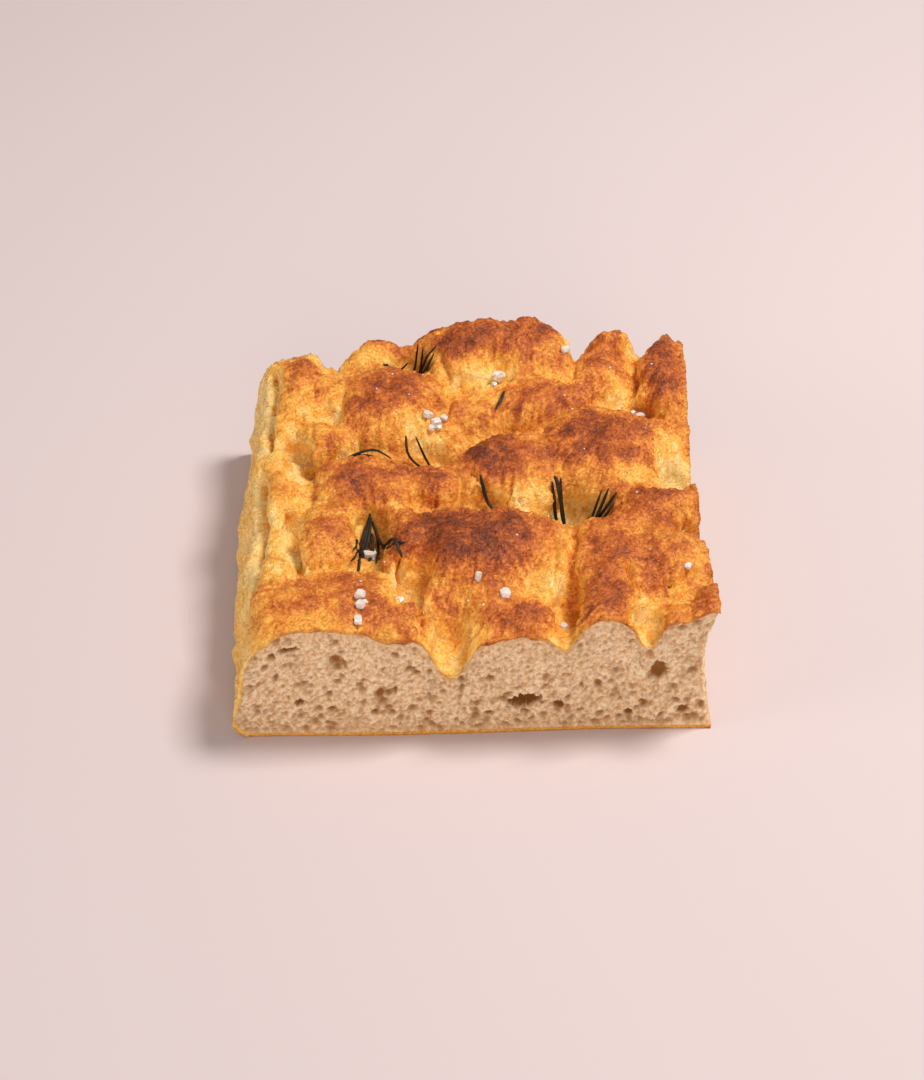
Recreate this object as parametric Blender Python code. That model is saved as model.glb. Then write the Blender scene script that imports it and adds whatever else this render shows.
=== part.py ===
"""One square slice of focaccia, as cut from a tray-baked slab.

The left side is the slab's own baked edge, which leans out over a rounded
foot. The front, right and back sides are knife cuts. The top is a field of
swollen lobes between finger dimples, highest in a bubble at the back.
The slice is one piece of bread, so it is one closed solid.

Sizes below are in millimetres. The frame has +Z up, the front cut at -Y and
the origin at the middle of the bounding box's underside.
"""

import bpy
import bmesh
import numpy as np

MM = 0.001

# Driving dimensions
WIDTH = 142.0           # across, from the baked edge's foot to the right cut
LENGTH = 138.0          # from the front cut to the back cut
CELLS = 56              # grid cells along each side of the top

# Baked left edge
LEAN_FRONT = 6.0        # how far the wall comes out from its shoulder to its foot, at the front
LEAN_BACK = 5.8         # and at the back
FOOT_RADIUS = 5.0       # rounding where the wall meets the tray
SHOULDER_WIDTH = 9.0    # rounded strip between the wall and the top
SHOULDER_DROP = 3.5     # how far that strip falls
WALL_ROWS = (0.25, 0.5, 0.72, 0.86, 0.95, 1.0)   # ways down the wall, 1 at the tray
FOOT_START = 0.86       # way down at which the foot begins to round in
WALL_CURVE = 0.8        # under 1, which makes the wall steepen towards the tray
WALL_BOW = 1.0          # how far the middle of the wall bows out
WALL_WAVE, WALL_WAVES = 0.6, 9.0     # waviness along the wall: how far, and radians from front to back
WALL_FOLD, WALL_FOLDS = 0.9, 17.0    # soft folds half way down it

# Cut sides
CUT_SKEW = 1.3          # how far each end of the front cut is off square
RIGHT_TAPER = 2.5       # how much narrower the slice is at the back than at the front
RIGHT_HOLLOW = 1.8      # how far the right cut sinks in between crust and base
CRUST_FLARE, FLARE_WAVES = 0.8, 7.0  # how far the crust stands out past the right cut, and its waviness
CUT_WAVE = 0.4          # waviness of the front and back cuts
FRONT_WAVES, BACK_WAVES = 8.0, 7.0   # in radians from left to right
CUT_TWIST = 2.0         # how far those waves shift from crust to tray, in radians

CUT_EDGE_ANGLE = 45.0   # degrees over which an edge is drawn sharp

# Top
FLOOR_FRONT = 34.5      # height of the low dough between the lobes, at the front
FLOOR_BACK = 38.5       # and at the back
LOBE_RISE = 6.5         # height of a lobe over its own rim
LOBE_SPREAD = 1.12      # how far each lobe has swollen into its neighbours, against the ovals below
LOBE_POWER = 2.8        # over 2, which makes a lobe flat-topped and steep-sided
BLEND = 0.8             # rounding of the creases where two lobes meet
WANDER = 1.3            # how far the dough pulled the lobes out of true ovals
WANDER_WAVE = 7.0       # length of that pull, over two pi

# Lobes: middle x, middle y, half-width x, half-width y, turn in degrees, top height
LOBES = (
    # back row, from the baked edge to the right cut
    (-64, 60, 6, 13, 0, 40),
    (-51, 57, 8, 15, -12, 44.5),
    (-42, 49, 10, 12, 0, 43),
    (-29, 66, 17, 10, 0, 45),
    (12, 66, 24, 16, 0, 53.5),
    (41, 56, 13, 14, 0, 48),
    (47, 69, 8, 7, 0, 51),
    (62, 56, 11, 19, 0, 48.5),
    # second row
    (-56, 38, 9, 11, 0, 42.5),
    (-22, 42, 19, 17, 0, 47),
    (-46, 25, 10, 11, 0, 42),
    (2, 41, 12, 11, 0, 42.5),
    (25, 44, 17, 13, 10, 46),
    (66, 26, 8, 11, 0, 41),
    # middle row
    (-58, 18, 9, 10, 0, 42),
    (-58, -5, 8, 16, 0, 41.5),
    (-33, 0, 16, 16, 0, 45),
    (-10, 2, 14, 11, 0, 43),
    (12, 7, 17, 16, 0, 46.5),
    (43, 16, 20, 19, 0, 48.5),
    (54, -14, 16, 13, 0, 44.5),
    (68, -10, 6, 10, 0, 43.5),
    # third row
    (-43, -26, 13, 14, 0, 43),
    (-22, -22, 9, 14, 0, 42.5),
    (-41, -13, 11, 10, 0, 42.5),
    (3, -31, 25, 17, 0, 47.5),
    (26, -36, 8, 17, 0, 44),
    (40, -44, 13, 28, 0, 45.5),
    (58, -38, 15, 17, 0, 45),
    # front row, which the front cut runs through
    (-57, -40, 10, 11, 0, 40),
    (-38, -56, 32, 18, 0, 42),
    (2, -54, 27, 14, 0, 40.5),
    (17, -63, 14, 11, 0, 39),
    (58, -64, 10, 10, 0, 41.5),
    (69, -62, 8, 11, 0, 45.5),
)

# Finger dimples and deep creases: middle x, middle y, half-width x, half-width y, turn, depth
DIMPLES = (
    (-5, -67, 6, 11, 0, 10.5),
    (50, -66, 2.2, 9, 8, 6),
    (27.5, -57, 3, 9, 0, 5),
    (-17, -44, 3, 12, -20, 8),
    (33, -12, 9, 5, 0, 6),
    (68, 5, 7, 5, 0, 7),
    (67, -24, 6, 3.5, 0, 6),
    (-30, -20, 4, 13, 10, 6),
    (-52, 20, 3, 7, 15, 7),
    (-53, -24, 3, 11, 5, 5),
    (-35, 14, 12, 4, 0, 4),
    (-8, 17, 8, 6, 0, 6),
    (-11, 37, 4, 5, 0, 4),
    (9, 52, 7, 5, 0, 4),
    (-16, 60, 7, 5, 0, 5),
    (-43, 67, 5, 6, 0, 5),
    (55, 36, 4, 7, 0, 4),
    (68, 12, 6, 8, 0, 4),
    (5, -8, 6, 4, 20, 5),
    (36, 67, 3, 6, 0, 6),
    (55, 69, 3, 6, 0, 5),
)


def turned(x, y, middle_x, middle_y, half_x, half_y, turn):
    """Squared distance from an oval's middle, 1 on the oval itself."""
    angle = np.radians(turn)
    along = (x - middle_x) * np.cos(angle) + (y - middle_y) * np.sin(angle)
    across = (y - middle_y) * np.cos(angle) - (x - middle_x) * np.sin(angle)
    return (along / half_x) ** 2 + (across / half_y) ** 2


def top_height(x, y):
    """Height of the crust: a soft maximum of the floor and all the lobes, less the dimples."""
    floor = FLOOR_FRONT + (FLOOR_BACK - FLOOR_FRONT) * (y / LENGTH + 0.5)
    x = x + WANDER * np.sin(y / WANDER_WAVE + np.sin(x / WANDER_WAVE))
    y = y + WANDER * np.cos(x / WANDER_WAVE + np.sin(y / WANDER_WAVE))
    total = np.exp(floor / BLEND)
    for middle_x, middle_y, half_x, half_y, turn, top in LOBES:
        reach = turned(x, y, middle_x, middle_y, half_x, half_y, turn)
        lobe = top - LOBE_RISE * (reach / LOBE_SPREAD ** 2) ** (LOBE_POWER / 2)
        total = total + np.exp(lobe / BLEND)
    height = BLEND * np.log(total)
    for middle_x, middle_y, half_x, half_y, turn, depth in DIMPLES:
        reach = turned(x, y, middle_x, middle_y, half_x, half_y, turn)
        height = height - depth * np.exp(-reach)
    return height


def left_edge(t, down):
    """The baked wall: t runs from the front to the back, down from the shoulder to the tray."""
    lean = LEAN_FRONT + (LEAN_BACK - LEAN_FRONT) * t
    shoulder = -WIDTH / 2 + lean - WALL_BOW * np.sin(np.pi * t) + WALL_WAVE * np.sin(WALL_WAVES * t)
    out = lean * min(down / FOOT_START, 1.0) ** WALL_CURVE
    under = max(down - FOOT_START, 0.0) / (1.0 - FOOT_START)
    tuck = FOOT_RADIUS * (1.0 - np.sqrt(1.0 - under ** 2))
    folds = WALL_FOLD * np.sin(np.pi * down) * np.sin(WALL_FOLDS * t)
    return shoulder - out + tuck + folds


def right_edge(t, down):
    """The right cut, a little hollow, with the crust standing out over it."""
    hollow = RIGHT_HOLLOW * np.sin(np.pi * down)
    flare = CRUST_FLARE * np.cos(FLARE_WAVES * t) * (1.0 - down)
    return WIDTH / 2 - CRUST_FLARE - RIGHT_TAPER * t - hollow + flare


def front_edge(s, down):
    """The front cut: s runs from the baked wall to the right cut."""
    return -LENGTH / 2 + CUT_SKEW * (2 * s - 1) + CUT_WAVE * np.sin(FRONT_WAVES * s + CUT_TWIST * down)


def back_edge(s, down):
    """The back cut."""
    return LENGTH / 2 + CUT_WAVE * np.sin(BACK_WAVES * s + CUT_TWIST * down)


def place(s, t, down):
    """Point of the outside for a place across, a place along and a way down the side."""
    x = left_edge(t, down) * (1 - s) + right_edge(t, down) * s
    y = front_edge(s, down) * (1 - t) + back_edge(s, down) * t
    top_x = left_edge(t, 0.0) * (1 - s) + right_edge(t, 0.0) * s
    top_y = front_edge(s, 0.0) * (1 - t) + back_edge(s, 0.0) * t
    near_wall = max(1.0 - (top_x - left_edge(t, 0.0)) / SHOULDER_WIDTH, 0.0)
    shoulder = SHOULDER_DROP * (1.0 - np.sqrt(1.0 - near_wall ** 2))
    z = (top_height(top_x, top_y) - shoulder) * (1.0 - down)
    return x * MM, y * MM, z * MM


def bread_material():
    """Baked wheat crust: golden brown, dull, with a trace of oil."""
    material = bpy.data.materials.new("baked_crust")
    material.use_nodes = True
    shader = material.node_tree.nodes["Principled BSDF"]
    shader.inputs["Base Color"].default_value = (0.56, 0.27, 0.08, 1.0)
    shader.inputs["Roughness"].default_value = 0.55
    shader.inputs["Metallic"].default_value = 0.0
    return material


def make_slice():
    """The whole slice: a grid for the top, extruded down its sides and closed underneath."""
    bm = bmesh.new()
    across = bm.verts.layers.float.new("across")
    along = bm.verts.layers.float.new("along")
    bmesh.ops.create_grid(bm, x_segments=CELLS, y_segments=CELLS, size=0.5)
    for vert in bm.verts:
        vert[across] = vert.co.x + 0.5
        vert[along] = vert.co.y + 0.5
        vert.co = place(vert[across], vert[along], 0.0)

    rim = [edge for edge in bm.edges if edge.is_boundary]
    for down in WALL_ROWS:
        made = bmesh.ops.extrude_edge_only(bm, edges=rim)["geom"]
        for vert in (item for item in made if isinstance(item, bmesh.types.BMVert)):
            vert.co = place(vert[across], vert[along], down)
        rim = [item for item in made if isinstance(item, bmesh.types.BMEdge) and item.is_boundary]
    bmesh.ops.contextual_create(bm, geom=rim)
    bmesh.ops.recalc_face_normals(bm, faces=bm.faces)

    corners = np.array([vert.co for vert in bm.verts])
    middle = (corners.min(axis=0) + corners.max(axis=0)) / 2
    bmesh.ops.translate(bm, verts=bm.verts, vec=(-middle[0], -middle[1], 0.0))

    mesh = bpy.data.meshes.new("focaccia")
    bm.to_mesh(mesh)
    bm.free()
    mesh.shade_smooth()
    mesh.set_sharp_from_angle(angle=np.radians(CUT_EDGE_ANGLE))
    mesh.materials.append(bread_material())
    slice_object = bpy.data.objects.new("focaccia", mesh)
    bpy.context.scene.collection.objects.link(slice_object)
    return slice_object


for old in list(bpy.data.objects):
    bpy.data.objects.remove(old, do_unlink=True)
make_slice()
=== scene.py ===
"""Focaccia: one square slice of dimpled, tray-baked bread with rosemary and coarse salt.

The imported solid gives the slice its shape. It is covered by two pieces: the
baked crust, which wraps the top, the left side and the underside, and the open
crumb, which shows at the three knife cuts. The rosemary and the salt lie on it.
"""

import math

import bmesh
import bpy
import numpy as np
from mathutils import Matrix, Vector, noise
from mathutils.bvhtree import BVHTree


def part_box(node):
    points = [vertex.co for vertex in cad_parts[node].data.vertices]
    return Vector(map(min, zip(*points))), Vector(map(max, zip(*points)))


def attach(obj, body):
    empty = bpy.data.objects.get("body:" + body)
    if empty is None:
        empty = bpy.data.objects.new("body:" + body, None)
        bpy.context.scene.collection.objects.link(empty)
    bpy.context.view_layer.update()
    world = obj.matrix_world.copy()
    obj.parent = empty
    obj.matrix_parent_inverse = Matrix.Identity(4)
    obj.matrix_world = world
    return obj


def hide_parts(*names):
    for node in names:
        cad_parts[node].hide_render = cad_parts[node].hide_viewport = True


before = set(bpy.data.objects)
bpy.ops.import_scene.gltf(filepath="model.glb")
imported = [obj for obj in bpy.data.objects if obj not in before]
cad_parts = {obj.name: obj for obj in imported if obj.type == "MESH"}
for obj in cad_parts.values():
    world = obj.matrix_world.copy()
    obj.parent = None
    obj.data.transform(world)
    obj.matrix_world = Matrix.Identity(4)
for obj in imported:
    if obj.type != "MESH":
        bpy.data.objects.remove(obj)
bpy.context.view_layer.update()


# --- The table, the light and the camera ------------------------------------
# A plain, faintly pink table top under one big soft lamp from the right and
# behind, with a weak fill from the front, so the left flanks fall into shade.

MM = 0.001
TABLE_PINK = "#D1C3C4"
TABLE_SIZE = 8.0
LAMP_WHITE = "#FFFAF4"
FILL_WHITE = "#FFF6EE"


def linear(hex_colour):
    """An sRGB hex colour as the linear red, green, blue and alpha that Blender wants."""
    parts = [int(hex_colour[k:k + 2], 16) / 255 for k in (1, 3, 5)]
    return tuple(c / 12.92 if c <= 0.04045 else ((c + 0.055) / 1.055) ** 2.4 for c in parts) + (1.0,)


def add_node(material, kind, links=(), **settings):
    """A node with its settings. A link is (its own input, another node's output)."""
    tree = material.node_tree
    made = tree.nodes.new(kind)
    for name, value in settings.items():
        if hasattr(made, name):
            setattr(made, name, value)
        else:
            made.inputs[name.replace("_", " ")].default_value = value
    for name, source in links:
        tree.links.new(source, made.inputs[name])
    return made


def new_material(name):
    """An empty material with its output node, and that node."""
    material = bpy.data.materials.new(name)
    material.use_nodes = True
    material.node_tree.nodes.clear()
    return material, material.node_tree.nodes.new("ShaderNodeOutputMaterial")


def show(name, mesh, material):
    """A finished mesh as an object at the origin, with its one material."""
    mesh.materials.append(material)
    piece = bpy.data.objects.new(name, mesh)
    bpy.context.scene.collection.objects.link(piece)
    return piece


painted_board, board_output = new_material("painted_board")
board_shader = add_node(painted_board, "ShaderNodeBsdfPrincipled", Roughness=0.75)
board_shader.inputs["Base Color"].default_value = linear(TABLE_PINK)
painted_board.node_tree.links.new(board_shader.outputs["BSDF"], board_output.inputs["Surface"])

bm = bmesh.new()
bmesh.ops.create_grid(bm, x_segments=1, y_segments=1, size=TABLE_SIZE / 2)
table_mesh = bpy.data.meshes.new("table")
bm.to_mesh(table_mesh)
bm.free()
show("table", table_mesh, painted_board)


def add_lamp(name, place, size, power, colour):
    """A square soft lamp that faces the slice."""
    lamp = bpy.data.lights.new(name, "AREA")
    lamp.size = size
    lamp.energy = power
    lamp.color = linear(colour)[:3]
    holder = bpy.data.objects.new(name, lamp)
    holder.location = place
    holder.rotation_euler = Vector(place).to_track_quat("Z", "Y").to_euler()
    bpy.context.scene.collection.objects.link(holder)


add_lamp("key", (0.54, 0.17, 1.11), 0.34, 14.1, LAMP_WHITE)
add_lamp("front_fill", (0.05, -1.50, 0.55), 0.90, 8.0, FILL_WHITE)
add_lamp("left_fill", (-1.60, -0.45, 0.50), 0.80, 7.6, FILL_WHITE)

world = bpy.data.worlds.new("studio")
bpy.context.scene.world = world
world.use_nodes = True
sky = world.node_tree.nodes["Background"]
sky.inputs["Color"].default_value = linear("#F2EAE8")
sky.inputs["Strength"].default_value = 0.39

CAMERA_HEADING = -0.74                  # degrees round from square on
CAMERA_ELEVATION = 38.0                 # degrees above the table
CAMERA_DISTANCE = 0.9166
CAMERA_AIM = Vector((0.0008, 0.0004, 0.020))
LENS = 99.1                             # millimetres, on a 36 mm sensor
SHIFT = (-0.0069, -0.0049)

heading, elevation = math.radians(CAMERA_HEADING), math.radians(CAMERA_ELEVATION)
back = Vector((math.sin(heading) * math.cos(elevation),
               -math.cos(heading) * math.cos(elevation),
               math.sin(elevation)))
camera_data = bpy.data.cameras.new("camera")
camera_data.lens = LENS
camera_data.shift_x, camera_data.shift_y = SHIFT
camera = bpy.data.objects.new("camera", camera_data)
camera.location = CAMERA_AIM + back * CAMERA_DISTANCE
camera.rotation_euler = back.to_track_quat("Z", "Y").to_euler()
bpy.context.scene.collection.objects.link(camera)
bpy.context.scene.camera = camera
bpy.context.scene.view_settings.view_transform = "Standard"


# --- Crust ------------------------------------------------------------------
# The skin of the loaf, dried and browned by the oven: one sheet that runs from
# the right cut over the lobed top, down the left side and back under the slice.
# It is a fine outer sheet joined round its edge to a coarse inner one.

SPINE_X, SPINE_Z = -58 * MM, 15 * MM    # a line inside the loaf that the skin is measured from
TOP_COLUMNS, TURN_COLUMNS, BASE_COLUMNS = 212, 84, 40
CRUST_COLUMNS = TOP_COLUMNS + TURN_COLUMNS + BASE_COLUMNS
CRUST_ROWS = 232
INNER_RATIO = 4                         # the inner sheet has one cell for this many each way
CRUST_THICKNESS = 1.2 * MM
CRUST_THICKEST = 6.5 * MM               # away from the cuts, where its inner side never shows
FACET_BLUR = 2.2                        # cells over which the solid's flat facets are rounded off
CUT_INSET = 0.3 * MM
RIM_MARGIN = 3.2 * MM                   # from the solid's box to where every cut has begun
RIM_SEARCH = (60 * MM, 75 * MM)         # the right cut lies somewhere between these
END_SEARCH = (62 * MM, 75 * MM)         # and the front and back cuts between these
RIM_OVERHANG = 0.25 * MM                # the crust stands a little proud of the cut, and raggedly
RIM_RAGGED = 0.45 * MM
SKIN_NEAREST = 6 * MM                   # anything nearer the spine's plane is a cut face seen end on

solid = bmesh.new()
solid.from_mesh(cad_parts["focaccia"].data)
bmesh.ops.remove_doubles(solid, verts=solid.verts, dist=0.01 * MM)
solid_tree = BVHTree.FromBMesh(solid)
solid_low, solid_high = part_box("focaccia")
FAR = 200 * MM


def skin_at(target, inward):
    """Where a line from far outside first meets the loaf on its way in to a target, or None."""
    start = Vector(target) - Vector(inward) * FAR
    return solid_tree.ray_cast(start, Vector(inward))[0]


def rim(inner, outer, is_skin):
    """The furthest place from inner towards outer where there is still skin, by halving."""
    for _ in range(14):
        middle = (inner + outer) / 2
        if is_skin(middle):
            inner = middle
        else:
            outer = middle
    return inner


def blur(field, reach):
    """Gaussian smoothing along both ways of a sheet, with its edge values carried on."""
    offsets = np.arange(-int(3 * reach) - 1, int(3 * reach) + 2)
    weights = np.exp(-0.5 * (offsets / reach) ** 2)
    weights /= weights.sum()
    for axis in (0, 1):
        count = field.shape[axis]
        total = np.zeros_like(field)
        for offset, weight in zip(offsets, weights):
            total += weight * np.take(field, np.clip(np.arange(count) + offset, 0, count - 1), axis=axis)
        field = total
    return field


def face_ways(sheet):
    """Unit normals of a sheet of points, from its two ways."""
    normals = np.cross(np.gradient(sheet, axis=0), np.gradient(sheet, axis=1))
    return normals / np.linalg.norm(normals, axis=-1, keepdims=True)


def grain(sheet, size_mm, seed):
    """Smooth noise of about -1 to 1 at each point of a sheet, with lumps of the size given."""
    places = (sheet / (size_mm * MM) + seed * 17.3).reshape(-1, 3).tolist()
    return np.array([noise.noise(place) for place in places]).reshape(sheet.shape[:2])


def soft_step(value, low, high):
    """0 below low, 1 above high and smooth between."""
    part = np.clip((value - low) / (high - low), 0, 1)
    return part * part * (3 - 2 * part)


def lay_crust():
    """The outer sheet's points: columns run underneath, up round the left side and over the top."""

    def aim(way, part, right):
        """Target on the spine's plane and the way in to it, for one column."""
        if way == "turn":
            angle = math.pi * (1.5 - part)
            return SPINE_X, SPINE_Z, -math.cos(angle), -math.sin(angle)
        return SPINE_X + (right - SPINE_X) * part, SPINE_Z, 0.0, -1.0 if way == "top" else 1.0

    def skin(x, y, z, dx, dz):
        """Skin point for a target, or None where the loaf is cut away."""
        found = skin_at((x, y, z), (dx, 0, dz))
        if found is None or (found.x - x) * -dx + (found.z - z) * -dz < SKIN_NEAREST:
            return None
        return found

    rows = np.linspace(0, 1, CRUST_ROWS + 1)
    right_rims = {}
    for way in ("top", "base"):
        down = -1.0 if way == "top" else 1.0
        right_rims[way] = [
            rim(*RIM_SEARCH, lambda x: skin(x, y, SPINE_Z, 0, down) is not None)
            for y in solid_low.y + RIM_MARGIN + (solid_high.y - solid_low.y - 2 * RIM_MARGIN) * rows
        ]

    ways = [("base", 1 - part) for part in np.linspace(0, 1, BASE_COLUMNS, endpoint=False)]
    ways += [("turn", part) for part in np.linspace(0, 1, TURN_COLUMNS, endpoint=False)]
    ways += [("top", part) for part in np.linspace(0, 1, TOP_COLUMNS + 1)]
    sheet = np.empty((CRUST_COLUMNS + 1, CRUST_ROWS + 1, 3))
    for column, (way, part) in enumerate(ways):
        ends = []
        for row, side in ((0, -1), (-1, 1)):
            x, z, dx, dz = aim(way, part, right_rims.get(way, [0])[row] - CUT_INSET)
            near, far = side * END_SEARCH[0], side * END_SEARCH[1]
            ends.append(rim(near, far, lambda y: skin(x, y, z, dx, dz) is not None))
        for row, along in enumerate(rows):
            right = right_rims.get(way, [0] * len(rows))[row]
            x, z, dx, dz = aim(way, part, right)
            y = ends[0] + (ends[1] - ends[0]) * along
            inside_y = min(max(y, ends[0] + CUT_INSET), ends[1] - CUT_INSET)
            inside_x = min(x, right - CUT_INSET) if way != "turn" else x
            found = skin(inside_x, inside_y, z, dx, dz)
            shift = x - inside_x
            sheet[column, row] = (found.x + shift, y, found.z) if found else sheet[column, row - 1]
    return sheet


crust = lay_crust()
crust_base = np.arange(CRUST_COLUMNS + 1) < BASE_COLUMNS + TURN_COLUMNS * 0.14
rounded = blur(crust, FACET_BLUR)
rounded[:, 0, 1], rounded[:, -1, 1] = crust[:, 0, 1], crust[:, -1, 1]
rounded[0, :, 0], rounded[-1, :, 0] = crust[0, :, 0], crust[-1, :, 0]
crust = rounded

# Dough relief. Wrinkles are noise combed downhill, so that they run off the
# lobes into the dimples as the skin was drawn tight there.
COMB_STEPS = 13                         # cells that the noise is combed over, each way
CREASE_DEPTH = 2.0 * MM                 # where two lobes meet
SWELL = 0.22                            # how much further lobes rose and dimples sank than the solid
WRINKLE_DEPTH = 0.85 * MM
# Lumps: size and height in mm, and seed
LUMPS = ((9.0, 1.2, 1), (6.5, 0.6, 7), (4.6, 0.42, 2), (2.2, 0.20, 3), (1.2, 0.12, 4))
# Crackles: size in mm, width of a line against it, depth in mm, and seed
CRACKLES = ((5.5, 0.07, 0.70, 31), (3.0, 0.09, 0.42, 32), (1.7, 0.14, 0.22, 33))

# Named folds and tucks of the skin, as paths (x, y) in mm over the top, with width and depth in mm
FOLDS = (
    (((-21, -38), (-18.5, -42), (-16, -50), (-13, -58), (-12, -62)), 1.5, 4.1),
    (((-53, -12), (-53, -22), (-51.5, -32), (-50, -40)), 1.3, 3.5),
    (((-66, -47), (-64.5, -39), (-63, -28), (-62.5, -17), (-63, -6), (-64, 8)), 1.8, 4.5),
    (((-61, 18), (-62, 30), (-62, 42), (-61, 60)), 1.6, 3.5),
    (((-53.5, 26), (-51.5, 22), (-49, 15)), 1.8, 5.4),
    (((-50, 35), (-52.5, 31), (-53, 27)), 0.9, 2.2),
    (((-54, 11), (-53.3, 0), (-53, -10)), 0.9, 1.4),
    (((-47, -39), (-38, -38), (-29, -37), (-22, -41)), 1.0, 2.0),
    (((20, -49.5), (18, -51), (16.5, -54)), 1.2, 2.4),
    (((31.5, -22), (31, -32), (30, -42), (29, -50), (28.5, -58)), 1.4, 3.2),
    (((25, -30), (25.5, -38), (25, -44)), 1.0, 1.1),
    (((46, -44), (47.5, -52), (50, -60), (52, -66)), 1.1, 3.0),
    (((54, -53), (60, -51.5), (66, -46)), 0.9, 1.8),
    (((-6, 45), (-4.5, 41), (-5.5, 33)), 1.2, 2.2),
    (((-6, 45), (1, 48), (8, 48.5), (15, 49)), 1.1, 2.4),
    (((-8, 57), (-5.5, 51), (-5, 46)), 1.0, 2.2),
    (((1, 1), (4, -3), (8, -9)), 1.0, 1.9),
    (((-38, 44), (-40, 39), (-42, 31)), 0.9, 1.6),
    (((-51, 31), (-50, 23), (-49.5, 17)), 0.9, 1.6),
    (((-46, 14), (-47.5, 5), (-47, -6)), 0.9, 1.4),
    (((34, 49), (35.5, 58), (36, 67)), 1.1, 2.2),
    (((52, 44), (53, 54), (54.5, 67)), 1.2, 2.7),
    (((60, 33), (63, 28), (70, 32)), 1.0, 1.9),
)


def sample(field, across, along):
    """A sheet's values at places between its points."""
    across = np.clip(across, 0, field.shape[0] - 1.001)
    along = np.clip(along, 0, field.shape[1] - 1.001)
    i, j = across.astype(int), along.astype(int)
    u, v = across - i, along - j
    return ((field[i, j] * (1 - u) + field[i + 1, j] * u) * (1 - v)
            + (field[i, j + 1] * (1 - u) + field[i + 1, j + 1] * u) * v)


def combed(field, height, steps):
    """Noise smeared along the slope of a height, which makes streaks that run downhill."""
    slope = blur(height, 3)
    across, along = np.gradient(slope, axis=0), np.gradient(slope, axis=1)
    size = np.hypot(across, along) + 1e-9
    across, along = across / size, along / size
    total = field.copy()
    for way in (1, -1):
        i, j = np.meshgrid(np.arange(field.shape[0]), np.arange(field.shape[1]), indexing="ij")
        i, j = i.astype(float), j.astype(float)
        for _ in range(steps):
            step_i, step_j = sample(across, i, j), sample(along, i, j)
            i, j = i + way * step_i, j + way * step_j
            total += sample(field, i, j)
    total -= total.mean()
    return total / total.std()


def fold_depth(x, y, path, width):
    """1 in the bottom of a fold and 0 away from it."""
    nearest = np.full(x.shape, 1e9)
    for (x0, y0), (x1, y1) in zip(path[:-1], path[1:]):
        dx, dy = x1 - x0, y1 - y0
        part = np.clip(((x - x0) * dx + (y - y0) * dy) / (dx * dx + dy * dy), 0, 1)
        nearest = np.minimum(nearest, np.hypot(x - x0 - part * dx, y - y0 - part * dy))
    return np.exp(-(nearest / width) ** 2)


random = np.random.default_rng(4)
crust_normals = face_ways(crust)
top_part = np.clip(crust_normals[..., 2], 0, 1)
steep = np.sqrt(np.clip(1 - crust_normals[..., 2] ** 2, 0, 1)) * (crust_normals[..., 2] > 0)
wander_x = crust[..., 0] / MM + 0.9 * grain(crust, 6.0, 5)
wander_y = crust[..., 1] / MM + 0.9 * grain(crust, 6.0, 6)

folds = np.zeros(crust.shape[:2])
for path, width, depth in FOLDS:
    folds = np.maximum(folds, depth * MM * fold_depth(wander_x, wander_y, path, width))
from_edge = np.minimum.reduce([
    np.broadcast_to(np.arange(CRUST_ROWS + 1), crust.shape[:2]),
    np.broadcast_to(np.arange(CRUST_ROWS, -1, -1), crust.shape[:2]),
    np.broadcast_to(np.arange(CRUST_COLUMNS, -1, -1)[:, None], crust.shape[:2]),
])
folds *= soft_step(crust_normals[..., 2], -0.2, 0.3) * (1 - 0.6 * np.exp(-from_edge / 3))

white = random.normal(size=crust.shape[:2])
streaks = combed(white, crust[..., 2], COMB_STEPS)
wrinkles = -np.abs(blur(streaks, 0.7)) * WRINKLE_DEPTH * soft_step(steep, 0.05, 0.55)
lumps = sum(height * MM * grain(crust, size, seed) for size, height, seed in LUMPS)
blisters = np.clip(grain(crust, 1.6, 9), 0, 1) * 0.25 * MM
lumps[crust_base] *= 0.25
blisters[crust_base] *= 0.25
warp = np.stack([grain(crust, 3.0, seed) for seed in (34, 35, 36)], axis=-1) * 1.4 * MM
crackle = sum(depth * MM * np.exp(-(grain(crust + warp, size, seed) / width) ** 2)
              for size, width, depth, seed in CRACKLES)
crackle[crust_base] *= 0.2
crackle *= 1 - 0.75 * soft_step(-crust_normals[..., 2], -0.3, 0.1)
hollow = np.clip(blur(crust[..., 2], 5) - blur(crust[..., 2], 1.5), 0, None) / MM
creases = CREASE_DEPTH * soft_step(hollow, 0.2, 1.1) * soft_step(crust_normals[..., 2], 0.1, 0.5)
swelling = SWELL * np.clip(crust[..., 2] - blur(crust[..., 2], 14), -3 * MM, 3 * MM) * soft_step(
    crust_normals[..., 2], 0.0, 0.5)
relief = lumps + blisters + wrinkles - crackle - creases - folds + swelling
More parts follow.
